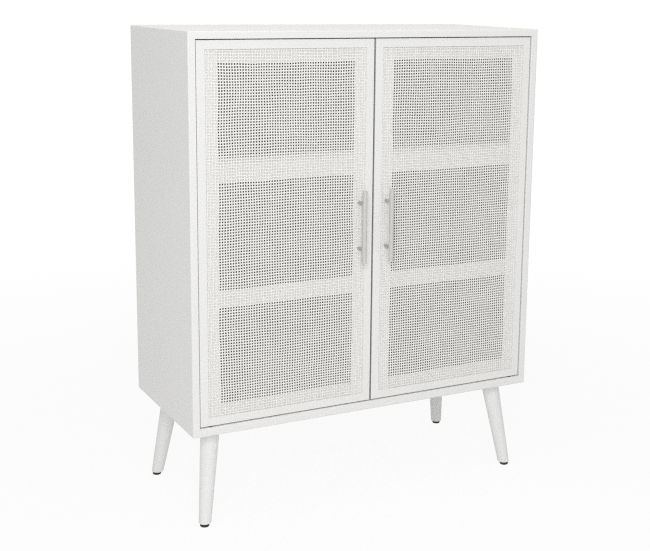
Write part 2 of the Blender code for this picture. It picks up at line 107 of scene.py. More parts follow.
# Grains per metre of each pattern: across it and along it, on X, Y and Z, or the same all ways
WOOD_GRAIN = (620, 16)
ROLLER_MARKS = 900
PAINT_MOTTLE = 9
BOARD_FIBRES = (260, 260, 420)
STRAND_STREAKS = (1900, 45)
STRAND_PATCHES = (60, 25)
BRUSH_LINES = (5200, 60)
METAL_HAZE = 70
PLATING_CLOUD = 650
MOULD_TEXTURE = 2600

# How much darker a finish gets at the dark end of its pattern
PAINT_TINT = 0.045
BOARD_TINT = 0.07
METAL_TINT = 0.08
PLATING_TINT = 0.18
GRAIN_CONTRAST = ((0.36, 0.0), (0.64, 1.0))

# How deep a full swing of a pattern is, on soft surfaces and on hard ones
SOFT_RELIEF = 0.0002
HARD_RELIEF = 0.0001

BLACK_PLASTIC = (0.016, 0.016, 0.017)
WHITE_PLASTIC = (0.78, 0.78, 0.76)

# The weave: sides of a strand's section, its slow drift in noise cells per metre, what brings
# the noise's swing to the wander that is asked for, and how near an edge the drift fades out
STRAND_SIDES = 6
DRIFT_SCALE = 8.0
DRIFT_GAIN = 4
DRIFT_FADE = 0.02

# Shares of a bar's radius: the rounding at its ends, and of that what is left halfway
BAR_STEPS = 48
BAR_ROUNDING = 0.12
HALF_ROUND = 0.3

# Shares of a screw head's radius and height: its outline from seat to crown, and its cross
SCREW_STEPS = 14
SCREW_OUTLINE = ((1.0, 0.0), (1.0, 0.35), (0.86, 0.78), (0.55, 1.0))
CROSS_ARM = 0.52
CROSS_BLADE = 0.13
CROSS_DEPTH = 0.55

# A plate's screws sit this many head radii above its lower edge
SCREW_INSET = 1.4

WHITE = (1, 1, 1, 1)
FLOOR_COLOUR = (0.94, 0.94, 0.94, 1.0)
FLOOR_RADIUS = 14.0
FLOOR_SIDES = 96
KEY_LIGHT = {"size": 1.6, "place": (-1.6, -3.0, 2.0), "target": (0, 0, 0.55)}
TOP_LIGHT = {"size": 2.4, "place": (-0.2, -0.4, 3.2), "target": (0, 0, 0.5)}
CAMERA_SHIFT = (-0.0618, -0.0873)


def sizes(node):
    """Lowest corner, highest corner and middle of a CAD node."""
    low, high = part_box(node)
    return low, high, (low + high) / 2


class Signal:
    """A node's output that takes Python's arithmetic: each operation adds a Math node."""

    def __init__(self, graph, socket):
        self.graph = graph
        self.socket = socket

    def maths(self, operation, *terms):
        return self.graph.node("ShaderNodeMath", {"operation": operation}, dict(enumerate(terms)))

    def __add__(self, other):
        return self.maths("ADD", self, other)

    def __radd__(self, other):
        return self.maths("ADD", other, self)

    def __sub__(self, other):
        return self.maths("SUBTRACT", self, other)

    def __rsub__(self, other):
        return self.maths("SUBTRACT", other, self)

    def __mul__(self, other):
        return self.maths("MULTIPLY", self, other)

    def __rmul__(self, other):
        return self.maths("MULTIPLY", other, self)

    def __truediv__(self, other):
        return self.maths("DIVIDE", self, other)

    def __mod__(self, other):
        return self.maths("FLOORED_MODULO", self, other)

    def clamped(self, low, high):
        return self.maths("MINIMUM", self.maths("MAXIMUM", self, low), high)

    def largest(self, other):
        return self.maths("MAXIMUM", self, other)

    def rounded(self):
        return self.maths("ROUND", self)

    def cosine(self):
        return self.maths("COSINE", self)

    def absolute(self):
        return self.maths("ABSOLUTE", self)


class Graph:
    """A node tree that is written as a few calls."""

    def __init__(self, tree):
        self.tree = tree
        tree.nodes.clear()

    def node(self, kind, settings=None, sockets=None, output=0):
        """Add a node: its settings first, then the values or links of its sockets."""
        node = self.tree.nodes.new(kind)
        for name, value in (settings or {}).items():
            if name == "stops":
                self.set_stops(node.color_ramp, value)
            else:
                setattr(node, name, value)
        for name, value in (sockets or {}).items():
            self.feed(self.find(node.inputs, name), value)
        return Signal(self, self.find(node.outputs, output))

    @staticmethod
    def find(sockets, name):
        """A socket by its place or its name, among those that the settings leave in use."""
        if isinstance(name, int):
            return [socket for socket in sockets if socket.enabled][name]
        return next(socket for socket in sockets if socket.enabled and socket.name == name)

    def feed(self, socket, value):
        if isinstance(value, Signal):
            self.tree.links.new(value.socket, socket)
        else:
            socket.default_value = value

    @staticmethod
    def set_stops(ramp, stops):
        while len(ramp.elements) < len(stops):
            ramp.elements.new(1.0)
        for element, (place, level) in zip(ramp.elements, stops):
            element.position = place
            element.color = (level, level, level, 1.0)

    def combine(self, x, y, z):
        return self.node("ShaderNodeCombineXYZ", {}, {"X": x, "Y": y, "Z": z})

    def separate(self, vector):
        """The X, Y and Z of a vector, from one node."""
        first = self.node("ShaderNodeSeparateXYZ", {}, {0: vector})
        outputs = first.socket.node.outputs
        return [Signal(self, socket) for socket in outputs]


class Finish(Graph):
    """A material: what varies over the surface is built on it, the rest is constant."""

    def __init__(self, name, colour, roughness, metallic=0.0):
        self.material = bpy.data.materials.new(name)
        self.material.use_nodes = True
        self.material.diffuse_color = (*colour, 1.0)
        super().__init__(self.material.node_tree)
        shader = self.node("ShaderNodeBsdfPrincipled", {}, {
            "Base Color": (*colour, 1.0), "Roughness": roughness, "Metallic": metallic,
        })
        self.shader = shader.socket.node
        result = self.tree.nodes.new("ShaderNodeOutputMaterial")
        self.tree.links.new(shader.socket, result.inputs["Surface"])
        self.place = self.node("ShaderNodeTexCoord", {}, {}, "Object")

    def noise(self, scale, detail=2.0, rough=0.5):
        """Noise of the given grains per metre, or of different ones along X, Y and Z."""
        stretch = scale if isinstance(scale, tuple) else (scale, scale, scale)
        where = self.node("ShaderNodeMapping", {}, {"Vector": self.place, "Scale": stretch})
        return self.node("ShaderNodeTexNoise", {"noise_dimensions": "3D"}, {
            "Vector": where, "Scale": 1.0, "Detail": detail, "Roughness": rough,
        }, "Fac")

    def curve(self, value, stops):
        return self.node("ShaderNodeValToRGB", {"stops": stops}, {"Fac": value}, "Color")

    def blend(self, factor, first, second):
        """One colour into another: each is a colour or a link."""
        return self.node("ShaderNodeMix", {"data_type": "RGBA"}, {
            "Factor": factor, "A": self.solid(first), "B": self.solid(second),
        }, "Result")

    @staticmethod
    def solid(colour):
        return colour if isinstance(colour, Signal) else (*colour, 1.0)

    def set(self, name, value):
        self.feed(self.shader.inputs[name], value)

    def bump(self, height, strength, distance=SOFT_RELIEF):
        normal = self.node("ShaderNodeBump", {}, {
            "Height": height, "Strength": strength, "Distance": distance,
        })
        self.set("Normal", normal)


def stretched(pattern, direction):
    """Grains per metre on X, Y and Z for a pattern that runs along one of them."""
    across, along = pattern
    return tuple(along if part else across for part in direction)


def darker(colour, share):
    return tuple(part * (1 - share) for part in colour)


def painted_wood(name, direction, edge=None):
    """Satin paint over planed boards: the grain only just telegraphs through it.

    Nearer to the middle plane than edge, where two doors meet, the paint is darker: painted shade for
    the gap between the doors.
    """
    paint = bpy.context.scene.cabinet_paint
    finish = Finish(name, paint.colour, paint.roughness)
    grain = finish.noise(stretched(WOOD_GRAIN, direction), detail=3.0, rough=0.6)
    roller = finish.noise(ROLLER_MARKS, detail=1.0)
    mottle = finish.noise(PAINT_MOTTLE)
    ridges = finish.curve(grain, GRAIN_CONTRAST)
    shade = (ridges * 0.4 + mottle * 0.6).clamped(0.0, 1.0)
    colour = finish.blend(shade, paint.colour, darker(paint.colour, PAINT_TINT))
    # Painted shade: the faces in the gap between the doors take a darker paint colour
    if edge:
        x, _, _ = finish.separate(finish.place)
        gap_shaded = ((edge - x.absolute()) / EDGE_FADE).clamped(0.0, 1.0)
        colour = finish.blend(gap_shaded, colour, darker(paint.colour, paint.edge_shade))
    finish.set("Base Color", colour)
    finish.set("Roughness", roller * 0.10 + grain * 0.06 + (paint.roughness - 0.08))
    finish.bump(ridges * 0.35 + roller * 0.65, paint.relief)
    return finish.material


def hardboard(name):
    """Sprayed board, duller than the painted wood, darker inside the cabinet as painted shade for the
    closed interior, and lighter on the cabinet's rear face.
    """
    paint = bpy.context.scene.cabinet_paint
    finish = Finish(name, paint.inner_painted_shade, 0.6)
    fibres = finish.noise(BOARD_FIBRES, detail=4.0, rough=0.7)
    _, y, _ = finish.separate(finish.place)
    # Painted shade: the board's inner face and the shelves take the darker inner colour, for the shade
    # inside the closed cabinet
    rear = ((y - sizes("back_panel")[2].y) / EDGE_FADE).clamped(0.0, 1.0)
    colour = finish.blend(rear, paint.inner_painted_shade, paint.rear_colour)
    inner_painted_shade_tint = darker(paint.inner_painted_shade, BOARD_TINT)
    tint = finish.blend(rear, inner_painted_shade_tint, darker(paint.rear_colour, BOARD_TINT))
    finish.set("Base Color", finish.blend(fibres, colour, tint))
    finish.set("Roughness", fibres * 0.16 + 0.50)
    finish.bump(fibres, 0.20)
    return finish.material


def strand_finish(name, direction):
    """A flat paper-fibre strand: fine streaks along it, and each strand a shade apart."""
    weave = bpy.context.scene.cabinet_weave
    finish = Finish(name, weave.colour, 0.68)
    streaks = finish.noise(stretched(STRAND_STREAKS, direction), detail=3.0, rough=0.65)
    patches = finish.noise(stretched(STRAND_PATCHES, direction))
    tone = finish.node("ShaderNodeAttribute", {"attribute_name": "tone"}, {}, "Fac")
    shade = (streaks * 0.35 + patches * 0.30 + tone * 0.35).clamped(0.0, 1.0)
    finish.set("Base Color", finish.blend(shade, weave.colour, weave.shade_colour))
    finish.set("Roughness", streaks * 0.18 + 0.58)
    finish.bump(streaks, 0.35)
    return finish.material


def brushed_metal(name, colour, direction, metallic=1.0):
    """Satin metal with fine lines along one direction."""
    metal = bpy.context.scene.cabinet_metal
    finish = Finish(name, colour, metal.handle_roughness, metallic)
    lines = finish.noise(stretched(BRUSH_LINES, direction))
    haze = finish.noise(METAL_HAZE)
    tint = darker(colour, METAL_TINT)
    finish.set("Base Color", finish.blend(lines * 0.6 + haze * 0.4, colour, tint))
    finish.set("Roughness", lines * 0.14 + haze * 0.06 + (metal.handle_roughness - 0.10))
    finish.bump(lines, 0.10, HARD_RELIEF)
    return finish.material


def plated_steel(name):
    """Zinc plate with the slight cloudiness of small hardware."""
    metal = bpy.context.scene.cabinet_metal
    finish = Finish(name, metal.steel_colour, 0.3, 1.0)
    cloud = finish.noise(PLATING_CLOUD, detail=3.0)
    tint = darker(metal.steel_colour, PLATING_TINT)
    finish.set("Base Color", finish.blend(cloud, metal.steel_colour, tint))
    finish.set("Roughness", cloud * 0.22 + 0.20)
    finish.bump(cloud, 0.05, HARD_RELIEF)
    return finish.material


def moulded_plastic(name, colour, roughness):
    """Spark-textured plastic."""
    finish = Finish(name, colour, roughness)
    texture = finish.noise(MOULD_TEXTURE)
    tint = tuple(min(1.0, part * 1.25 + 0.004) for part in colour)
    finish.set("Base Color", finish.blend(texture, colour, tint))
    finish.set("Roughness", texture * 0.16 + (roughness - 0.08))
    finish.bump(texture, 0.18, HARD_RELIEF)
    return finish.material


def finish_of(name):
    """The material of that name, made the first time it is asked for."""
    metal = bpy.context.scene.cabinet_metal
    # The band of painted shade on the meeting stiles reaches this far from the middle plane
    gap_shade_limit = sizes("right_door_meeting_stile")[0].x + GAP_SHADE_REACH
    makers = {
        "paint_upright": (painted_wood, ALONG_Z),
        "paint_level": (painted_wood, ALONG_X),
        "paint_meeting": (painted_wood, ALONG_Z, gap_shade_limit),
        "hardboard": (hardboard,),
        "warp_strand": (strand_finish, ALONG_Z),
        "weft_strand": (strand_finish, ALONG_X),
        "bar_metal": (brushed_metal, metal.bar_colour, ALONG_Z, metal.bar_metallic),
        "post_metal": (brushed_metal, metal.post_colour, ALONG_Y),
        "plated_steel": (plated_steel,),
        "black_plastic": (moulded_plastic, BLACK_PLASTIC, 0.5),
        "white_plastic": (moulded_plastic, WHITE_PLASTIC, 0.4),
    }
    maker, *details = makers[name]
    return bpy.data.materials.get(name) or maker(name, *details)


def body_of(node):
    return frame["nodes"][node]["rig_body"]


def new_piece(name, mesh, material, body, replaced=()):
    """Put a finished mesh in the scene, riding on a body and standing for CAD nodes."""
    mesh.name = name
    mesh.materials.clear()
    mesh.materials.append(finish_of(material))
    piece = bpy.data.objects.new(name, mesh)
    bpy.context.scene.collection.objects.link(piece)
    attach(piece, body)
    if replaced:
        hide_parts(*replaced)


def merged_form(node):
    """The CAD node's triangles, joined at their shared corners."""
    form = bmesh.new()
    form.from_mesh(frame["nodes"][node].data)
    bmesh.ops.remove_doubles(form, verts=form.verts, dist=MERGE_DISTANCE)
    return form


def plain_mesh(form, name):
    """A mesh with only the points and faces of a bmesh, which is freed."""
    form.verts.index_update()
    points = [vertex.co.copy() for vertex in form.verts]
    faces = [[vertex.index for vertex in face.verts] for face in form.faces]
    form.free()
    mesh = bpy.data.meshes.new(name)
    mesh.from_pydata(points, [], faces)
    return mesh


def softly_shaded(mesh):
    """Smooth shading that leaves flat faces flat, because big faces weigh the normals."""
    mesh.shade_smooth()
    mesh.set_sharp_from_angle(angle=SHARP_ANGLE)
    holder = bpy.data.objects.new("shading", mesh)
    bpy.context.scene.collection.objects.link(holder)
    weights = holder.modifiers.new("Weights", "WEIGHTED_NORMAL")
    weights.mode = "FACE_AREA"
    weights.keep_sharp = True
    result = evaluated_mesh(holder)
    bpy.data.objects.remove(holder, do_unlink=True)
    bpy.data.meshes.remove(mesh)
    return result


def evaluated_mesh(obj):
    """What the object's modifiers make of it, as a plain mesh."""
    depsgraph = bpy.context.evaluated_depsgraph_get()
    return bpy.data.meshes.new_from_object(
        obj.evaluated_get(depsgraph), preserve_all_data_layers=True, depsgraph=depsgraph
    )


def finished_copy(node, prefix, material):
    """A softly shaded piece of the CAD node's own shape, which stands for it."""
    name = f"{prefix}_{node}"
    mesh = softly_shaded(plain_mesh(merged_form(node), name))
    new_piece(name, mesh, material, body_of(node), (node,))


def dress(node, material):
    """A new material on a CAD node that keeps its own mesh."""
    obj = frame["nodes"][node]
    obj.data.materials.clear()
    obj.data.materials.append(finish_of(material))


def paint_layer(name, regions, depth):
    """Paint that lies as a slim solid layer on chosen faces of the CAD nodes.

    Each region is a node, the direction its faces look in and how far out they lie that
    way, or None for those that lie furthest in, because a tenon beyond them stays bare.
    """
    whole = bmesh.new()
    for node, facing, level in regions:
        direction = Vector(facing).normalized()
        form = merged_form(node)
        form.normal_update()
        places = {
            face: face.calc_center_median().dot(direction)
            for face in form.faces if face.normal.dot(direction) > FACING_MATCH
        }
        kept = min(places.values()) if level is None else level
        others = [
            face for face in form.faces if abs(places.get(face, math.inf) - kept) > JOINT_GAP
        ]
        bmesh.ops.delete(form, geom=others, context="FACES")
        made = bmesh.ops.extrude_face_region(form, geom=list(form.faces), use_keep_orig=True)
        moved = [item for item in made["geom"] if isinstance(item, bmesh.types.BMVert)]
        bmesh.ops.translate(form, verts=moved, vec=direction * depth)
        bmesh.ops.recalc_face_normals(form, faces=form.faces)
        slab = plain_mesh(form, name)
        whole.from_mesh(slab)
        bpy.data.meshes.remove(slab)
    body = body_of(regions[0][0])
    new_piece(name, plain_mesh(whole, name), "paint_level", body)


def lathe(name, profile, steps, place):
    """A profile of (radius, height) points swept round Z at a place, closed at both ends."""
    points = []
    faces = []
    rings = len(profile)
    for radius, height in profile:
        for step in range(steps):
            angle = math.tau * step / steps
            points.append((radius * math.cos(angle), radius * math.sin(angle), height))
    for ring in range(rings - 1):
        for step in range(steps):
            after = (step + 1) % steps
            low, high = ring * steps, (ring + 1) * steps
            faces.append((low + step, low + after, high + after, high + step))
    faces.append(tuple(reversed(range(steps))))
    faces.append(tuple(range((rings - 1) * steps, rings * steps)))
    mesh = bpy.data.meshes.new(name)
    mesh.from_pydata(points, [], faces)
    mesh.transform(Matrix.Translation(place))
    return softly_shaded(mesh)


def geometry_tree(name, inputs):
    """A Geometry Nodes tree with named inputs, given as {name: (socket type, default)}."""
    tree = bpy.data.node_groups.new(name, "GeometryNodeTree")
    tree.interface.new_socket("Geometry", in_out="OUTPUT", socket_type="NodeSocketGeometry")
    for label, (kind, default) in inputs.items():
        socket = tree.interface.new_socket(label, in_out="INPUT", socket_type=kind)
        if default is not None:
            socket.default_value = default
    graph = Graph(tree)
    entry = tree.nodes.new("NodeGroupInput")
    given = {label: Signal(graph, entry.outputs[label]) for label in inputs}
    return graph, given


def finish_tree(graph, geometry, material):
    """The end of every tree: real geometry with its material."""
    real = graph.node("GeometryNodeRealizeInstances", {}, {"Geometry": geometry})
    dressed = graph.node("GeometryNodeSetMaterial", {}, {"Geometry": real, "Material": material})
    result = graph.tree.nodes.new("NodeGroupOutput")
    graph.tree.links.new(dressed.socket, result.inputs["Geometry"])
    return graph.tree


def grown(name, tree, values):
    """The mesh that a tree makes with these input values, set by socket identifier."""
    host_mesh = bpy.data.meshes.new(f"{name}_host")
    host = bpy.data.objects.new(name, host_mesh)
    modifier = host.modifiers.new("Grow", "NODES")
    modifier.node_group = tree
    for item in tree.interface.items_tree:
        if item.item_type == "SOCKET" and item.in_out == "INPUT" and item.name in values:
            modifier[item.identifier] = values[item.name]
    bpy.context.scene.collection.objects.link(host)
    mesh = evaluated_mesh(host)
    bpy.data.objects.remove(host, do_unlink=True)
    bpy.data.meshes.remove(host_mesh)
    return mesh


def strand_tree():
    """One set of parallel strands of a plain weave, bent over and under the other set."""
    graph, given = geometry_tree("plain_weave_strands", {
        "Strands": ("NodeSocketInt", 10),
        "Crossings": ("NodeSocketInt", 10),
        "Strand Spacing": ("NodeSocketFloat", 0.0056),
        "Crossing Spacing": ("NodeSocketFloat", 0.0056),
        "Strand Width": ("NodeSocketFloat", 0.0032),
        "Strand Thickness": ("NodeSocketFloat", 0.0008),
        "Crimp": ("NodeSocketFloat", 0.0005),
        "First Over": ("NodeSocketInt", 0),
        "Turn": ("NodeSocketFloat", 0.0),
        "Half Width": ("NodeSocketFloat", 0.17),
        "Half Height": ("NodeSocketFloat", 0.36),
        "Trim": ("NodeSocketFloat", 0.0006),
        "Wander": ("NodeSocketFloat", 0.0004),
        "Drift": ("NodeSocketInt", 0),
        "Seed": ("NodeSocketInt", 3),
        "Centre": ("NodeSocketVector", None),
        "Material": ("NodeSocketMaterial", None),
    })
    spacing = given["Strand Spacing"]
    crossing = given["Crossing Spacing"]
    half_length = given["Crossings"] * crossing * 0.5
    # Two points to a crossing, a quarter of it either side of its middle, so that the strand
    # lies flat between them; one more at each end is drawn back to the trim
    overshoot = half_length + crossing * 0.25
    line = graph.node("GeometryNodeCurvePrimitiveLine", {}, {
        "Start": graph.combine(0 - overshoot, 0.0, 0.0),
        "End": graph.combine(overshoot, 0.0, 0.0),
    })
    strand = graph.node("GeometryNodeResampleCurve", {}, {
        "Curve": line, "Count": given["Crossings"] * 2 + 2,
    })
    first = (given["Strands"] - 1) * spacing * 0.5
    row = graph.node("GeometryNodeMeshLine", {}, {
        "Count": given["Strands"],
        "Start Location": graph.combine(0.0, 0 - first, 0.0),
        "Offset": graph.combine(0.0, spacing, 0.0),
    })
    laid = graph.node("GeometryNodeInstanceOnPoints", {}, {"Points": row, "Instance": strand})
    strands = graph.node("GeometryNodeRealizeInstances", {}, {"Geometry": laid})
    x, y, _ = graph.separate(graph.node("GeometryNodeInputPosition"))
    number = ((y + first) / spacing).rounded()
    tone = graph.node("FunctionNodeRandomValue", {"data_type": "FLOAT"}, {
        "ID": number, "Seed": given["Seed"],
    })
    per_point = {"data_type": "FLOAT", "domain": "POINT"}
    toned = graph.node("GeometryNodeStoreNamedAttribute", per_point, {
        "Geometry": strands, "Name": "tone", "Value": tone,
    })
    trimmed = x.clamped(given["Trim"] - half_length, half_length - given["Trim"])
    wave = ((trimmed + half_length) / crossing - 0.5) * math.pi
    level = (wave.cosine() * math.sqrt(2)).clamped(-1.0, 1.0)
    sign = 1 - ((number + given["First Over"]) % 2) * 2
    bent = graph.node("GeometryNodeSetPosition", {}, {
        "Geometry": toned,
        "Position": graph.combine(trimmed, y, level * sign * given["Crimp"]),
    })
    turned = graph.node("GeometryNodeTransform", {}, {
        "Geometry": bent, "Rotation": graph.combine(0.0, 0.0, given["Turn"]),
    })
    wandering = wander(graph, turned, given)
    upright = graph.node("GeometryNodeSetCurveNormal", {"mode": "Z_UP"}, {"Curve": wandering})
    ring = graph.node("GeometryNodeCurvePrimitiveCircle", {}, {
        "Resolution": STRAND_SIDES, "Radius": 1.0,
    })
    # A hexagon of radius 1 is as high as the square root of 3
    upright_scale = given["Strand Thickness"] / math.sqrt(3)
    flat = graph.combine(given["Strand Width"] * 0.5, upright_scale, 1.0)
    section = graph.node("GeometryNodeTransform", {}, {"Geometry": ring, "Scale": flat})
    body = graph.node("GeometryNodeCurveToMesh", {}, {
        "Curve": upright, "Profile Curve": section, "Fill Caps": True,
    })
    smooth = graph.node("GeometryNodeSetShadeSmooth", {}, {"Geometry": body})
    standing = graph.node("GeometryNodeTransform", {}, {
        "Geometry": smooth,
        "Translation": given["Centre"],
        "Rotation": (math.pi / 2, 0.0, 0.0),
    })
    return finish_tree(graph, standing, given["Material"])


def wander(graph, strands, given):
    """Shift both sets of a panel by one slow field, fading out at the edges that hold them.

    Drift picks the slice of the noise that the panel takes.
    """
    x, y, _ = graph.separate(graph.node("GeometryNodeInputPosition"))
    drift = graph.node("ShaderNodeTexNoise", {"noise_dimensions": "3D"}, {
        "Vector": graph.combine(x, y, given["Drift"]),
        "Scale": DRIFT_SCALE, "Detail": 2.0, "Roughness": 0.55,
    }, "Color")
    across, upward, _ = graph.separate(drift)
    fade_x = ((given["Half Width"] - x.absolute()) / DRIFT_FADE).clamped(0.0, 1.0)
    fade_y = ((given["Half Height"] - y.absolute()) / DRIFT_FADE).clamped(0.0, 1.0)
    reach = given["Wander"] * DRIFT_GAIN
    offset = graph.combine((across - 0.5) * reach * fade_x, (upward - 0.5) * reach * fade_y, 0.0)
    return graph.node("GeometryNodeSetPosition", {}, {"Geometry": strands, "Offset": offset})


def fastener_tree():
    """A row of fasteners: one head, repeated at a spacing, each turned by chance."""
    graph, given = geometry_tree("fastener_row", {
        "Head": ("NodeSocketObject", None),
        "Count": ("NodeSocketInt", 2),
        "Spacing": ("NodeSocketVector", None),
        "Centre": ("NodeSocketVector", None),
        "Facing": ("NodeSocketVector", None),
        "Seed": ("NodeSocketInt", 1),
        "Material": ("NodeSocketMaterial", None),
    })
    span = graph.node("ShaderNodeVectorMath", {"operation": "SCALE"}, {
        0: given["Spacing"], "Scale": (given["Count"] - 1) * -0.5,
    })
    start = graph.node("ShaderNodeVectorMath", {"operation": "ADD"}, {
        0: given["Centre"], 1: span,
    })
    row = graph.node("GeometryNodeMeshLine", {}, {
        "Count": given["Count"], "Start Location": start, "Offset": given["Spacing"],
    })
    head = graph.node("GeometryNodeObjectInfo", {}, {"Object": given["Head"]}, "Geometry")
    chance = graph.node("FunctionNodeRandomValue", {"data_type": "FLOAT"}, {
        "Max": math.pi / 2, "Seed": given["Seed"],
    })
    facing = graph.node("FunctionNodeAlignRotationToVector", {"axis": "Z"}, {
        "Vector": given["Facing"],
    })
    spin = graph.node("FunctionNodeEulerToRotation", {}, {
        "Euler": graph.combine(0.0, 0.0, chance),
    })
    rotation = graph.node("FunctionNodeRotateRotation", {"rotation_space": "LOCAL"}, {
        "Rotation": facing, "Rotate By": spin,
    })
    laid = graph.node("GeometryNodeInstanceOnPoints", {}, {
        "Points": row, "Instance": head, "Rotation": rotation,
    })
    return finish_tree(graph, laid, given["Material"])


def screw_head(name, radius, height):
    """A low domed head with a cross recess, its seat at the origin and its crown on +Z."""
    profile = [(radius * wide, height * high) for wide, high in SCREW_OUTLINE]
    mesh = lathe(name, profile, SCREW_STEPS, Vector((0, 0, 0)))
    head = bpy.data.objects.new(name, mesh)
    bpy.context.scene.collection.objects.link(head)
    arm = radius * CROSS_ARM
    blade = radius * CROSS_BLADE
    depth = height * CROSS_DEPTH
    form = bmesh.new()
    for half_x, half_y in ((arm, blade), (blade, arm)):
        made = bmesh.ops.create_cube(form, size=2)
        place = Matrix.Translation((0, 0, height)) @ Matrix.Diagonal((half_x, half_y, depth, 1))
        bmesh.ops.transform(form, matrix=place, verts=made["verts"])
    cross = bpy.data.objects.new(f"{name}_cross", plain_mesh(form, f"{name}_cross"))
    bpy.context.scene.collection.objects.link(cross)
    sink = head.modifiers.new("Cross", "BOOLEAN")
    sink.operation = "DIFFERENCE"
    sink.solver = "EXACT"
    sink.use_self = True
    sink.object = cross
    crossed = evaluated_mesh(head)
    head.modifiers.clear()
    head.data = crossed
    bpy.data.meshes.remove(mesh)
    bpy.data.objects.remove(cross, do_unlink=True)
    return head


def colour_setting(label, meaning, default):
    return bpy.props.FloatVectorProperty(
        name=label, description=meaning, default=default,
        subtype="COLOR", size=3, min=0.0, max=1.0,
    )


def share_setting(label, meaning, default):
    return bpy.props.FloatProperty(
        name=label, description=meaning, default=default, subtype="FACTOR", min=0.0, max=1.0,
    )


def length_setting(label, meaning, default, least, most):
    return bpy.props.FloatProperty(
        name=label, description=meaning, default=default,
        unit="LENGTH", precision=4, min=least, max=most,
    )


class CabinetPaint(bpy.types.PropertyGroup):
    colour: colour_setting(
        "Paint colour", "Colour of the painted boards and legs", (0.86, 0.86, 0.85),
    )
    # Painted shade: darker than the paint, for the shade inside the closed cabinet
    inner_painted_shade: colour_setting(
        "Inner colour", "Colour of the shelves and of the back panel's front", (0.54, 0.535, 0.52),
    )
    rear_colour: colour_setting(
        "Rear colour", "Colour of the back panel seen from behind", (0.76, 0.755, 0.74),
    )
    # Painted shade: how much darker the paint is in the gap where the doors meet
    edge_shade: share_setting(
        "Edge shade", "How much darker the thin paint is where the doors meet", 0.40,
    )
    roughness: share_setting(
        "Paint roughness", "Satin paint lies between gloss and matt", 0.46,
    )
    relief: share_setting(
        "Paint relief", "How much grain and roller marks stand out", 0.16,
    )


class CabinetWeave(bpy.types.PropertyGroup):
    columns: bpy.props.IntProperty(
        name="Upright strands", description="Strands across each door's woven panel",
        min=2, max=80, default=62,
    )
    rows: bpy.props.IntProperty(
        name="Level strands", description="Strands up each door's woven panel",
        min=2, max=160, default=129,
    )
    strand_width: length_setting(
        "Strand width", "Width of one flat strand", 0.0029, 0.001, 0.006,
    )
    strand_thickness: length_setting(
        "Strand thickness", "Thickness of one flat strand", 0.00045, 0.0002, 0.001,
    )
    trim: length_setting(
        "Trim", "How far the strands end short of the recess walls", 0.0006, 0.0, 0.002,
    )
    crimp: length_setting(
        "Crimp", "How far a strand rises and dips where it crosses", 0.00025, 0.0, 0.001,
    )
    wander: length_setting(
        "Wander", "How far the strands stray from straight lines", 0.0020, 0.0, 0.005,
    )
    seed: bpy.props.IntProperty(
        name="Seed", description="Picks the strands' shades and the panels' drift", min=0, default=7,
    )
    colour: colour_setting(
        "Strand colour", "Lightest colour of the woven strands", (0.93, 0.92, 0.90),
    )
    shade_colour: colour_setting(
        "Strand shade", "Darkest colour of the woven strands", (0.88, 0.865, 0.84),
    )


class CabinetMetal(bpy.types.PropertyGroup):
    bar_colour: colour_setting(
        "Bar metal", "Colour of the satin nickel bars", (0.625, 0.62, 0.60),
    )
    bar_metallic: share_setting(
        "Bar sheen", "How much the bars mirror: a matt lacquer over the metal", 0.2,
    )
    post_colour: colour_setting(
        "Post metal", "Colour of the turned posts behind the bars", (0.58, 0.565, 0.54),
    )
    handle_roughness: share_setting(
        "Handle roughness", "Roughness of the brushed handles", 0.66,
    )
    steel_colour: colour_setting(
        "Fitting steel", "Colour of pins, plates and screws", (0.64, 0.65, 0.66),
    )
    screw_radius: length_setting(
        "Screw head radius", "Radius of the handle screws' heads", 0.0042, 0.001, 0.006,
    )
    screw_height: length_setting(
        "Screw head height", "Height of the handle screws' heads", 0.0022, 0.0005, 0.004,
    )
    small_radius: length_setting(
        "Small screw radius", "Radius of the heads in the plates and the catch", 0.0016, 0.0005, 0.003,
    )
    small_height: length_setting(
        "Small screw height", "Height of the heads in the plates and the catch", 0.0007, 0.0002, 0.002,
    )
    small_spacing: length_setting(
        "Small screw spacing", "Between the two screws of a plate or the catch", 0.012, 0.004, 0.03,
    )
    seed: bpy.props.IntProperty(
        name="Screw seed", description="Picks how far each screw is turned", min=0, default=4,
    )


class CabinetStage(bpy.types.PropertyGroup):
    camera_place: bpy.props.FloatVectorProperty(
        name="Camera place", description="Where the camera stands",
        subtype="TRANSLATION", unit="LENGTH", size=3, default=(-1.1784, -2.3069, 1.0829),
    )
    camera_turn: bpy.props.FloatVectorProperty(
        name="Camera turn", description="Turn to the right, tilt down and roll of the camera",
        unit="ROTATION", size=3, default=(0.4954, 0.1896, 0.0136),
    )
    lens: bpy.props.FloatProperty(
        name="Lens", description="Focal length", min=10.0, default=66.62, unit="CAMERA",
    )
    ambient: bpy.props.FloatProperty(
        name="Ambient light", description="Strength of the light from all round",
        min=0.0, max=2.0, default=0.475,
    )
    key_power: bpy.props.FloatProperty(
        name="Key light", description="Power of the large soft light in front",
        min=0.0, default=51.5, unit="POWER",
    )
    top_power: bpy.props.FloatProperty(
        name="Top light", description="Power of the soft light overhead",
        min=0.0, default=20.5, unit="POWER",
    )
    top_colour: colour_setting(
        "Top light colour", "Slightly warm, as the photographed top is", (1.0, 0.965, 0.925),
    )
    filter_width: bpy.props.FloatProperty(
        name="Filter width", description="Pixels that one point blurs over: few, for a crisp picture",
        min=0.5, max=3.0, default=1.25,
    )
    floor_white: share_setting(
        "Floor white", "Share of plain white in the floor as the camera sees it", 0.90,
    )
    floor_near: bpy.props.FloatProperty(
        name="Floor fade start", description="Distance from the object where the floor turns whiter",
        min=0.0, default=0.7, unit="LENGTH",
    )
    floor_far: bpy.props.FloatProperty(
        name="Floor fade end", description="Distance from the object where the floor is plain white",
        min=0.0, default=2.6, unit="LENGTH",
    )


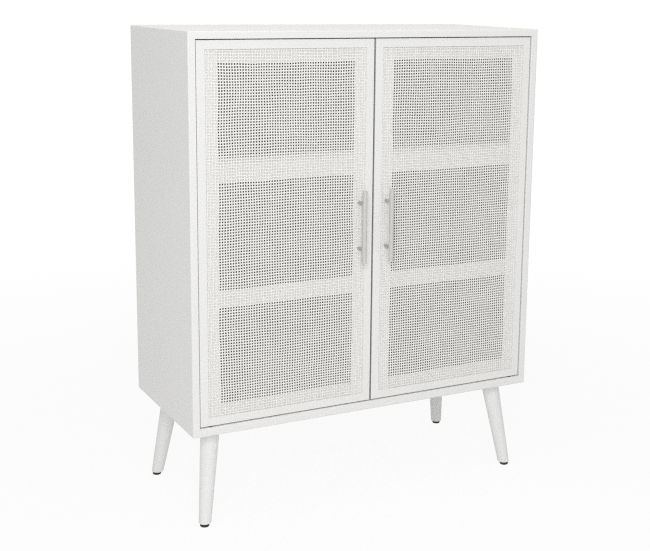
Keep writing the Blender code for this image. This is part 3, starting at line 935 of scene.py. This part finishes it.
class CABINET_OT_carcass(bpy.types.Operator):
    """Paint the four mitred boards, fill their joints, and finish the back and the shelves"""

    bl_idname = "cabinet.carcass"
    bl_label = "Carcass"

    def execute(self, context):
        for node in CARCASS:
            material = "paint_upright" if "side" in node else "paint_level"
            finished_copy(node, "painted", material)
        low, high, _ = sizes("left_side_panel")
        side_thickness = high.x - low.x
        corners = []
        for node, up in (("top_panel", 1), ("bottom_panel", -1)):
            low, high, _ = sizes(node)
            for across in (-1, 1):
                mitre = (across * (high.z - low.z), 0, -up * side_thickness)
                corners.append((node, mitre, None))
        paint_layer("corner_paint", corners, JOINT_GAP)
        # The back and the shelves take the darker inner colour of the hardboard finish, painted shade
        # for the closed interior
        dress("back_panel", "hardboard")
        for shelf in SHELVES:
            dress(shelf, "hardboard")
        return {"FINISHED"}


class CABINET_OT_doors(bpy.types.Operator):
    """Paint both doors' frames, fill their joints and bed the weave on the stiles"""

    bl_idname = "cabinet.doors"
    bl_label = "Door frames"

    def execute(self, context):
        for door in DOORS:
            finished_copy(f"{door}_hinge_stile", "painted", "paint_upright")
            # The meeting stiles carry painted shade on their faces in the gap between the doors
            finished_copy(f"{door}_meeting_stile", "painted", "paint_meeting")
            for part in RAILS:
                finished_copy(f"{door}_{part}", "painted", "paint_level")
            ends = [
                (f"{door}_{part}", (across, 0, 0), None) for part in RAILS for across in (-1, 1)
            ]
            paint_layer(f"{door}_joint_paint", ends, JOINT_GAP)
            # The recess's floor faces -Y, a joint's gap behind the woven panel
            recess = -sizes(f"{door}_woven_panel")[1].y - JOINT_GAP
            floors = [(f"{door}_{part}", (0, -1, 0), recess) for part in STILES]
            paint_layer(f"{door}_weave_bed", floors, BED_DEPTH)
        return {"FINISHED"}


class CABINET_OT_woven_panels(bpy.types.Operator):
    """Weave the upright and the level strands of both door panels"""

    bl_idname = "cabinet.woven_panels"
    bl_label = "Woven panels"

    def execute(self, context):
        weave = context.scene.cabinet_weave
        tree = strand_tree()
        for door in DOORS:
            node = f"{door}_woven_panel"
            low, high, middle = sizes(node)
            across = (high.x - low.x) / weave.columns
            upward = (high.z - low.z) / weave.rows
            shared = {
                "Strand Width": weave.strand_width,
                "Strand Thickness": weave.strand_thickness,
                "Crimp": weave.crimp,
                "Trim": weave.trim,
                "Wander": weave.wander,
                "Drift": weave.seed + SIDES[door],
                "Half Width": (high.x - low.x) / 2,
                "Half Height": (high.z - low.z) / 2,
                "Centre": (middle.x, high.y - weave.strand_thickness / 2 - weave.crimp, middle.z),
            }
            # The quarter turn numbers the upright strands from the right
            first_upright = (weave.columns + 1) % 2
            sets = (
                ("warp", weave.columns, weave.rows, across, upward, math.pi / 2, first_upright, 0),
                ("weft", weave.rows, weave.columns, upward, across, 0.0, 1, 1),
            )
            for label, strands, crossings, spacing, step, turn, over, shades in sets:
                name = f"{door}_{label}_strands"
                mesh = grown(name, tree, {
                    **shared,
                    "Strands": strands,
                    "Crossings": crossings,
                    "Strand Spacing": spacing,
                    "Crossing Spacing": step,
                    "Turn": turn,
                    "First Over": over,
                    "Seed": weave.seed + shades + SIDES[door],
                    "Material": finish_of(f"{label}_strand"),
                })
                new_piece(name, mesh, f"{label}_strand", door, (node,))
        return {"FINISHED"}


class CABINET_OT_handles(bpy.types.Operator):
    """Turn the handle bars and posts and give them their brushed finish"""

    bl_idname = "cabinet.handles"
    bl_label = "Handles"

    def execute(self, context):
        for door in DOORS:
            bar = f"{door}_handle_bar"
            low, high, middle = sizes(bar)
            radius = (high.y - low.y) / 2
            half = (high.z - low.z) / 2
            edge = radius * BAR_ROUNDING
            profile = [
                (radius - edge, -half),
                (radius - edge * HALF_ROUND, edge * HALF_ROUND - half),
                (radius, edge - half),
            ]
            profile += [(wide, -height) for wide, height in reversed(profile)]
            mesh = lathe(bar, profile, BAR_STEPS, middle)
            new_piece(f"brushed_{bar}", mesh, "bar_metal", door, (bar,))
            for end in ("upper", "lower"):
                post = f"{door}_handle_post_{end}"
                finished_copy(post, "turned", "post_metal")
        return {"FINISHED"}


class CABINET_OT_legs(bpy.types.Operator):
    """Paint the legs and finish their glides and screws"""

    bl_idname = "cabinet.legs"
    bl_label = "Legs"

    def execute(self, context):
        for place in LEGS:
            finished_copy(f"{place}_leg", "painted", "paint_upright")
            finished_copy(f"{place}_foot_glide", "moulded", "black_plastic")
            finished_copy(f"{place}_leg_screw", "plated", "plated_steel")
        return {"FINISHED"}


class CABINET_OT_fittings(bpy.types.Operator):
    """Finish the pivots, shelf pins, strike plates and the magnetic catch"""

    bl_idname = "cabinet.fittings"
    bl_label = "Fittings"

    def execute(self, context):
        for shelf in SHELVES:
            for end in ("front", "back"):
                for side in ("left", "right"):
                    finished_copy(f"{shelf}_pin_{end}_{side}", "plated", "plated_steel")
        for door in DOORS:
            for end in ("top", "bottom"):
                finished_copy(f"{door}_{end}_pivot_pin", "plated", "plated_steel")
                bush = f"{door}_{end}_pivot_bush"
                finished_copy(bush, "moulded", "black_plastic")
            dress(f"{door}_strike_plate", "plated_steel")
        finished_copy("magnetic_catch", "moulded", "white_plastic")
        return {"FINISHED"}


class CABINET_OT_screws(bpy.types.Operator):
    """Drive the screws behind the handle posts, in the strike plates and in the catch"""

    bl_idname = "cabinet.screws"
    bl_label = "Screws"

    def execute(self, context):
        metal = context.scene.cabinet_metal
        tree = fastener_tree()
        pan = screw_head("pan_head", metal.screw_radius, metal.screw_height)
        small = screw_head("small_head", metal.small_radius, metal.small_height)
        rows = []
        for door in DOORS:
            upper = sizes(f"{door}_handle_post_upper")[2]
            lower = sizes(f"{door}_handle_post_lower")[2]
            back = sizes(f"{door}_meeting_stile")[1].y
            rows.append((
                f"{door}_handle_screws", door, pan, upper - lower,
                Vector((upper.x, back, (upper.z + lower.z) / 2)), (0, 1, 0),
            ))
            low, high, middle = sizes(f"{door}_strike_plate")
            rows.append((
                f"{door}_strike_screws", door, small, Vector((metal.small_spacing, 0, 0)),
                Vector((middle.x, high.y, low.z + metal.small_radius * SCREW_INSET)), (0, 1, 0),
            ))
        low, _, middle = sizes("magnetic_catch")
        rows.append((
            "catch_screws", body_of("magnetic_catch"), small, Vector((metal.small_spacing, 0, 0)),
            Vector((middle.x, middle.y, low.z)), (0, 0, -1),
        ))
        for number, (name, body, head, spacing, centre, facing) in enumerate(rows):
            mesh = grown(name, tree, {
                "Head": head,
                "Count": 2,
                "Spacing": spacing,
                "Centre": centre,
                "Facing": facing,
                "Seed": metal.seed + number,
                "Material": finish_of("plated_steel"),
            })
            new_piece(name, mesh, "plated_steel", body)
        for head in (pan, small):
            bpy.data.objects.remove(head, do_unlink=True)
        return {"FINISHED"}


class CABINET_OT_stage(bpy.types.Operator):
    """Lay the floor, hang the soft lights and set up the camera"""

    bl_idname = "cabinet.stage"
    bl_label = "Stage"

    def execute(self, context):
        stage = context.scene.cabinet_stage
        lay_floor(stage)
        light_air(stage)
        hang_light("key_light", stage.key_power, **KEY_LIGHT)
        top = hang_light("top_light", stage.top_power, **TOP_LIGHT)
        top.color = stage.top_colour
        place_camera(stage)
        context.scene.view_settings.view_transform = "Standard"
        # The fine weave is so close to the grain of noise that denoising smears it flat
        context.scene.cycles.use_denoising = False
        context.scene.cycles.filter_width = stage.filter_width
        return {"FINISHED"}


def seen_directly(graph):
    """1 for rays from the camera, off metal or through glass, and 0 for the rest."""
    path = graph.tree.nodes.new("ShaderNodeLightPath")
    camera, glossy, through = [
        Signal(graph, path.outputs[name])
        for name in ("Is Camera Ray", "Is Glossy Ray", "Is Transmission Ray")
    ]
    return camera.largest(glossy).largest(through)


def light_air(stage):
    """Even light from all round, in front of a plain white background."""
    world = bpy.data.worlds.new("studio_air")
    bpy.context.scene.world = world
    world.use_nodes = True
    graph = Graph(world.node_tree)
    strength = seen_directly(graph) * (1 - stage.ambient) + stage.ambient
    air = graph.node("ShaderNodeBackground", {}, {"Color": WHITE, "Strength": strength})
    result = graph.tree.nodes.new("ShaderNodeOutputWorld")
    graph.tree.links.new(air.socket, result.inputs["Surface"])


def lay_floor(stage):
    """A wide round floor, almost white, that keeps a soft shadow."""
    form = bmesh.new()
    bmesh.ops.create_circle(form, cap_ends=True, radius=FLOOR_RADIUS, segments=FLOOR_SIDES)
    mesh = plain_mesh(form, "floor")
    floor = bpy.data.objects.new("floor", mesh)
    bpy.context.scene.collection.objects.link(floor)
    material = bpy.data.materials.new("studio_floor")
    material.use_nodes = True
    graph = Graph(material.node_tree)
    matt = graph.node("ShaderNodeBsdfDiffuse", {}, {"Color": FLOOR_COLOUR})
    white = graph.node("ShaderNodeEmission", {}, {"Color": WHITE, "Strength": 1.0})
    place = graph.node("ShaderNodeTexCoord", {}, {}, "Object")
    away = graph.node("ShaderNodeVectorMath", {"operation": "LENGTH"}, {0: place}, "Value")
    fade = graph.node("ShaderNodeMapRange", {"interpolation_type": "SMOOTHSTEP"}, {
        "Value": away, "From Min": stage.floor_near, "From Max": stage.floor_far,
        "To Min": stage.floor_white, "To Max": 1.0,
    })
    share = seen_directly(graph) * fade
    mixed = graph.node("ShaderNodeMixShader", {}, {0: share, 1: matt, 2: white})
    result = graph.tree.nodes.new("ShaderNodeOutputMaterial")
    graph.tree.links.new(mixed.socket, result.inputs["Surface"])
    mesh.materials.append(material)


def hang_light(name, power, size, place, target):
    """A large square soft light at one place, aimed at another."""
    lamp = bpy.data.lights.new(name, "AREA")
    lamp.size = size
    lamp.energy = power
    light = bpy.data.objects.new(name, lamp)
    light.location = place
    light.rotation_euler = (Vector(target) - Vector(place)).to_track_quat("-Z", "Y").to_euler()
    bpy.context.scene.collection.objects.link(light)
    return lamp


def place_camera(stage):
    """The camera of the photograph, fitted to the cabinet's corners."""
    turn, tilt, roll = stage.camera_turn
    camera = bpy.data.cameras.new("photo_camera")
    camera.lens = stage.lens
    camera.shift_x, camera.shift_y = CAMERA_SHIFT
    holder = bpy.data.objects.new("photo_camera", camera)
    holder.matrix_world = (
        Matrix.Translation(stage.camera_place)
        @ Matrix.Rotation(-turn, 4, "Z")
        @ Matrix.Rotation(math.pi / 2 - tilt, 4, "X")
        @ Matrix.Rotation(roll, 4, "Z")
    )
    bpy.context.scene.collection.objects.link(holder)
    bpy.context.scene.camera = holder


OPERATORS = (
    CABINET_OT_carcass,
    CABINET_OT_doors,
    CABINET_OT_woven_panels,
    CABINET_OT_handles,
    CABINET_OT_legs,
    CABINET_OT_fittings,
    CABINET_OT_screws,
    CABINET_OT_stage,
)
SETTINGS = {
    "cabinet_paint": CabinetPaint,
    "cabinet_weave": CabinetWeave,
    "cabinet_metal": CabinetMetal,
    "cabinet_stage": CabinetStage,
}


class CABINET_PT_sidebar(bpy.types.Panel):
    """Settings and steps of the cabinet"""

    bl_idname = "CABINET_PT_sidebar"
    bl_label = "Storage cabinet"
    bl_space_type = "VIEW_3D"
    bl_region_type = "UI"
    bl_category = "Cabinet"

    def draw(self, context):
        for name, group in SETTINGS.items():
            box = self.layout.box()
            for label in group.__annotations__:
                box.prop(getattr(context.scene, name), label)
        for operator in OPERATORS:
            self.layout.operator(operator.bl_idname)


CLASSES = (*SETTINGS.values(), *OPERATORS, CABINET_PT_sidebar)


def register():
    for cls in CLASSES:
        bpy.utils.register_class(cls)
    for name, group in SETTINGS.items():
        setattr(bpy.types.Scene, name, bpy.props.PointerProperty(type=group))


def unregister():
    for name in SETTINGS:
        delattr(bpy.types.Scene, name)
    for cls in reversed(CLASSES):
        bpy.utils.unregister_class(cls)


def main():
    register()
    bpy.ops.cabinet.carcass()
    bpy.ops.cabinet.doors()
    bpy.ops.cabinet.woven_panels()
    bpy.ops.cabinet.handles()
    bpy.ops.cabinet.legs()
    bpy.ops.cabinet.fittings()
    bpy.ops.cabinet.screws()
    bpy.ops.cabinet.stage()


if __name__ == "__main__":
    main()
